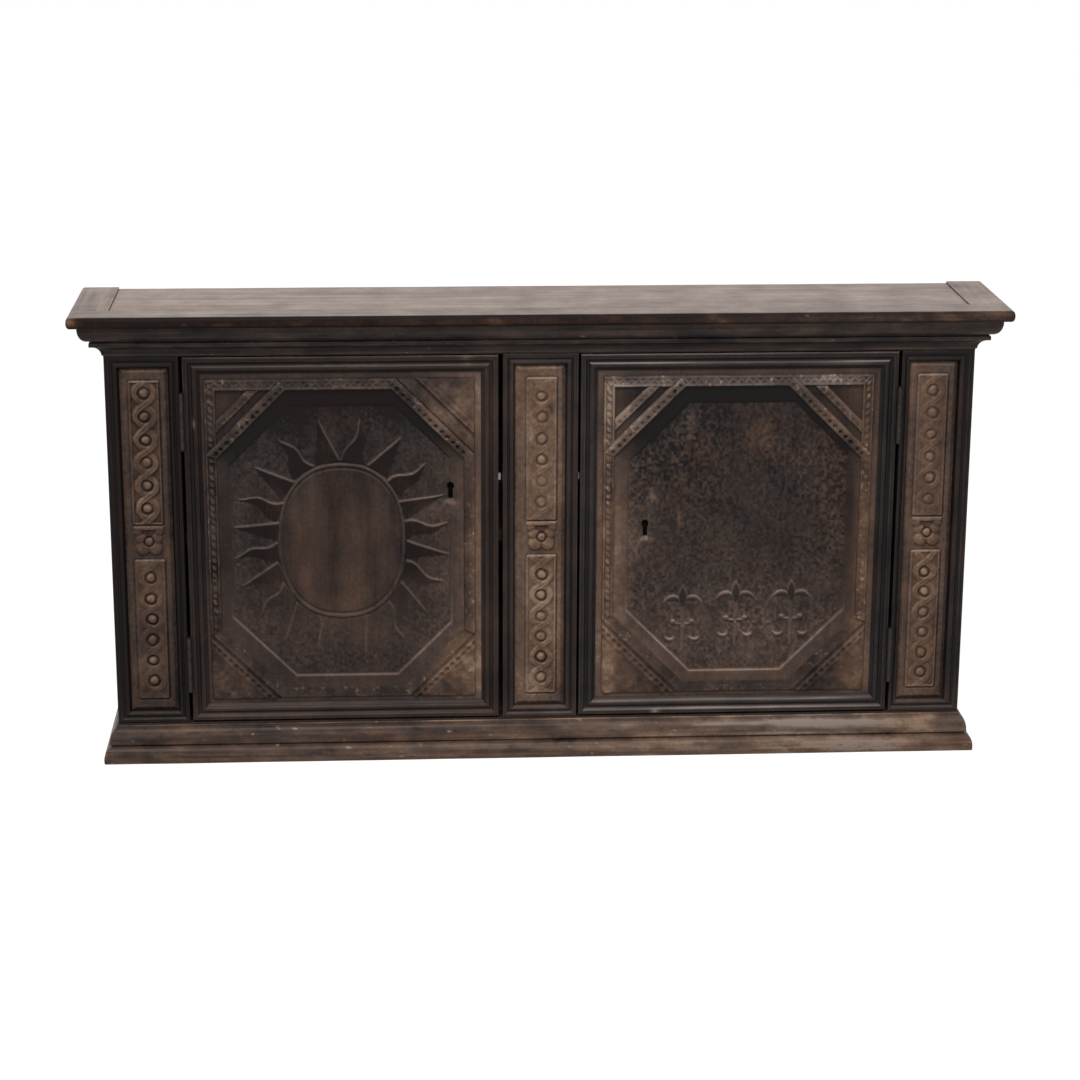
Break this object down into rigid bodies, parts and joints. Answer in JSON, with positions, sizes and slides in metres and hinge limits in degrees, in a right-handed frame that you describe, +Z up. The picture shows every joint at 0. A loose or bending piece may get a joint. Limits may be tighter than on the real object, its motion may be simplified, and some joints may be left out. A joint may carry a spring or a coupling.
{
  "type": "wall cabinet",
  "caption": "Low shallow wooden wall cabinet with hinged carved doors between guilloche pilasters, a moulded cornice and plinth, rim locks and a shelf inside.",
  "frame": {"origin": "on the floor, at the middle of the cabinet's width and depth", "axes": "+X to the viewer's right along the front, +Y from the doors towards the wall, +Z up"},
  "size_m": [1.5, 0.258, 0.754],
  "materials": {
    "dark_wood": "near-black worn wax over dark-stained wood",
    "carved_wood": "worn light-brown carving",
    "panel_wood": "dark brown waxed wood",
    "top_wood": "grey-brown worn wood with a soft sheen",
    "plinth_wood": "rubbed brown wood",
    "raw_wood": "unfinished inside wood",
    "iron": "dark forged iron",
    "bright_iron": "iron rubbed bright"
  },
  "bodies": {
    "carcass": {"top_board": "top_wood", "top_front_strip": "top_wood", "top_cleat_left": "top_wood", "top_cleat_right": "top_wood", "cornice_front": "dark_wood", "cornice_left": "dark_wood", "cornice_right": "dark_wood", "frieze_rail": "dark_wood", "base_rail": "dark_wood", "stile_left": "dark_wood", "stile_centre": "dark_wood", "stile_right": "dark_wood", "side_left": "dark_wood", "side_right": "dark_wood", "pilaster_frame_left": "dark_wood", "pilaster_frame_centre": "dark_wood", "pilaster_frame_right": "dark_wood", "bottom_board": "raw_wood", "shelf": "raw_wood", "shelf_batten_left": "raw_wood", "shelf_batten_right": "raw_wood", "shelf_batten_back": "raw_wood", "back_board_lower": "raw_wood", "back_board_upper": "raw_wood", "plinth_front": "plinth_wood", "plinth_left": "plinth_wood", "plinth_right": "plinth_wood", "pilaster_panel_left": "carved_wood", "pilaster_panel_centre": "carved_wood", "pilaster_panel_right": "carved_wood", "hinge_left_upper_frame_leaf": "iron", "hinge_left_upper_pin": "iron", "hinge_left_lower_frame_leaf": "iron", "hinge_left_lower_pin": "iron", "lock_strike_left": "bright_iron", "hinge_right_upper_frame_leaf": "iron", "hinge_right_upper_pin": "iron", "hinge_right_lower_frame_leaf": "iron", "hinge_right_lower_pin": "iron", "lock_strike_right": "bright_iron"},
    "door_left": {"door_left_hinge_stile": "dark_wood", "door_left_lock_stile": "dark_wood", "door_left_top_rail": "dark_wood", "door_left_bottom_rail": "dark_wood", "door_left_panel": "panel_wood", "door_left_carved_border": "carved_wood", "lock_case_left": "iron", "hinge_left_upper_door_leaf": "iron", "hinge_left_lower_door_leaf": "iron"},
    "bolt_left": {"lock_bolt_left": "bright_iron"},
    "door_right": {"door_right_hinge_stile": "dark_wood", "door_right_lock_stile": "dark_wood", "door_right_top_rail": "dark_wood", "door_right_bottom_rail": "dark_wood", "door_right_panel": "panel_wood", "door_right_carved_border": "carved_wood", "lock_case_right": "iron", "hinge_right_upper_door_leaf": "iron", "hinge_right_lower_door_leaf": "iron"},
    "bolt_right": {"lock_bolt_right": "bright_iron"}
  },
  "joints": [
    {"name": "door_left_hinge", "type": "hinge", "parent": "carcass", "child": "door_left", "pos_m": [-0.578, -0.0815, 0.3727], "axis": [0, 0, -1], "range_deg": [0, 170]},
    {"name": "door_right_hinge", "type": "hinge", "parent": "carcass", "child": "door_right", "pos_m": [0.578, -0.0815, 0.3727], "axis": [0, 0, 1], "range_deg": [0, 170]},
    {"name": "bolt_left_slide", "type": "slide", "parent": "door_left", "child": "bolt_left", "axis": [1, 0, 0], "range_m": [0, 0.009]},
    {"name": "bolt_right_slide", "type": "slide", "parent": "door_right", "child": "bolt_right", "axis": [-1, 0, 0], "range_m": [0, 0.009]}
  ]
}
